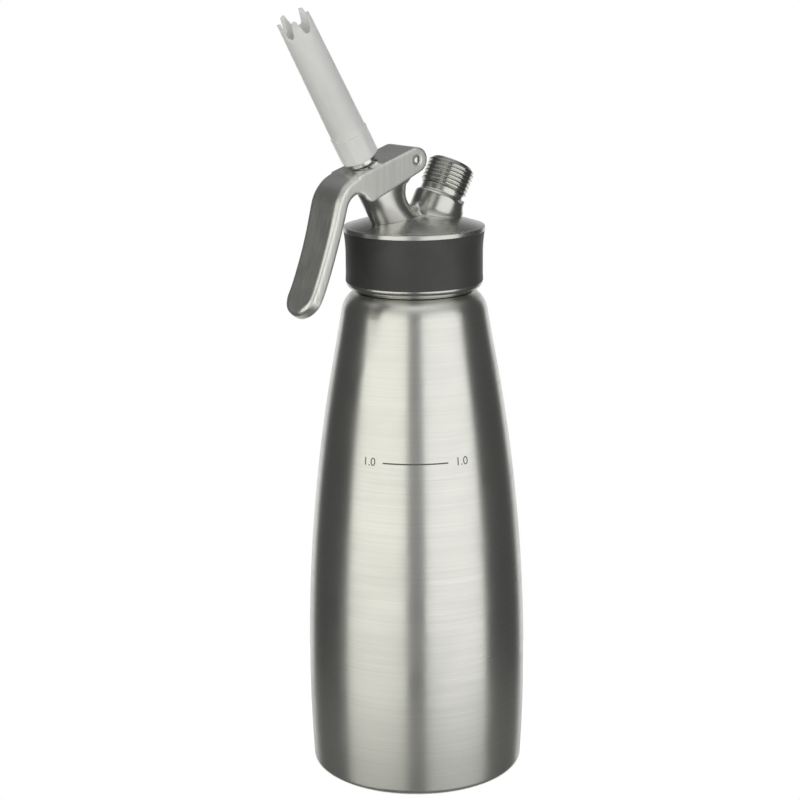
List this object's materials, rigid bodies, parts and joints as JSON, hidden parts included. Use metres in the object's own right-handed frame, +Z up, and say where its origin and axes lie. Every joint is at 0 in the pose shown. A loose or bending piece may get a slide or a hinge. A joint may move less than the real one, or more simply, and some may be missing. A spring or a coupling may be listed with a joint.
{
  "type": "whipped cream dispenser",
  "caption": "Steel bottle with a screwed head: a squeeze lever opens a sprung piston valve into a toothed tip, beside a leaning threaded gas port.",
  "frame": {"origin": "centre of the bottle's foot, on the surface that it stands on", "axes": "+Z up along the bottle's axis, -X towards the lever and the tip, +X towards the gas port"},
  "size_m": [0.1192, 0.0984, 0.3435],
  "materials": {
    "bottle_steel": "fine horizontal brushing",
    "cast_steel": "satin",
    "lever_steel": "brushed along the arm",
    "turned_steel": "turned",
    "spring_steel": "drawn wire",
    "silicone": "matte",
    "seal_silicone": "matte",
    "seal_rubber": "matte",
    "tip_plastic": "slightly translucent white"
  },
  "bodies": {
    "bottle": {"bottle": "bottle_steel"},
    "gasket": {"head_gasket": "seal_silicone"},
    "head": {"head": "cast_steel", "grip_band": "silicone", "lever_pin": "turned_steel", "piston_spring": "spring_steel", "charger_seal": "seal_rubber", "piercing_pin": "turned_steel", "check_retainer": "turned_steel", "check_spring": "spring_steel"},
    "lever": {"lever": "lever_steel"},
    "piston": {"piston": "turned_steel", "valve_seal": "seal_rubber", "stem_o_ring": "seal_rubber", "drive_collar": "turned_steel", "tip_seat_ring": "turned_steel"},
    "tip_thread": {"tip_insert": "turned_steel"},
    "tip": {"decorator_tip": "tip_plastic"},
    "poppet": {"check_poppet": "seal_rubber"}
  },
  "joints": [
    {"name": "head_lift", "type": "slide", "parent": "bottle", "child": "gasket", "axis": [0, 0, 1], "range_m": [0, 0.0072]},
    {"name": "head_turn", "type": "hinge", "parent": "gasket", "child": "head", "pos_m": [0, 0, 0.23], "axis": [0, 0, 1], "range_deg": [0, 810]},
    {"name": "lever_press", "type": "hinge", "parent": "head", "child": "lever", "pos_m": [-0.006, 0, 0.278], "axis": [0, -1, 0], "range_deg": [0, 8.5], "stiffness_Nm_per_rad": 1.2, "springref_deg": -14.32},
    {"name": "piston_slide", "type": "slide", "parent": "head", "child": "piston", "axis": [0.5, 0, -0.866], "range_m": [0, 0.00296], "deforming": ["piston_spring"]},
    {"name": "tip_lift", "type": "slide", "parent": "piston", "child": "tip_thread", "axis": [-0.5, 0, 0.866], "range_m": [0, 0.009]},
    {"name": "tip_turn", "type": "hinge", "parent": "tip_thread", "child": "tip", "pos_m": [-0.03, 0, 0.28126], "axis": [-0.5, 0, 0.866], "range_deg": [0, 1620]},
    {"name": "check_slide", "type": "slide", "parent": "head", "child": "poppet", "axis": [-0.4848, 0, -0.8746], "range_m": [0, 0.0008], "stiffness_N_per_m": 100, "springref_m": -0.002, "deforming": ["check_spring"]}
  ],
  "couplings": [
    {"joint": "head_lift", "follows": "head_turn", "m_per_rad": 0.000509},
    {"joint": "piston_slide", "follows": "lever_press", "m_per_rad": 0.0199},
    {"joint": "tip_lift", "follows": "tip_turn", "m_per_rad": 0.000318}
  ]
}
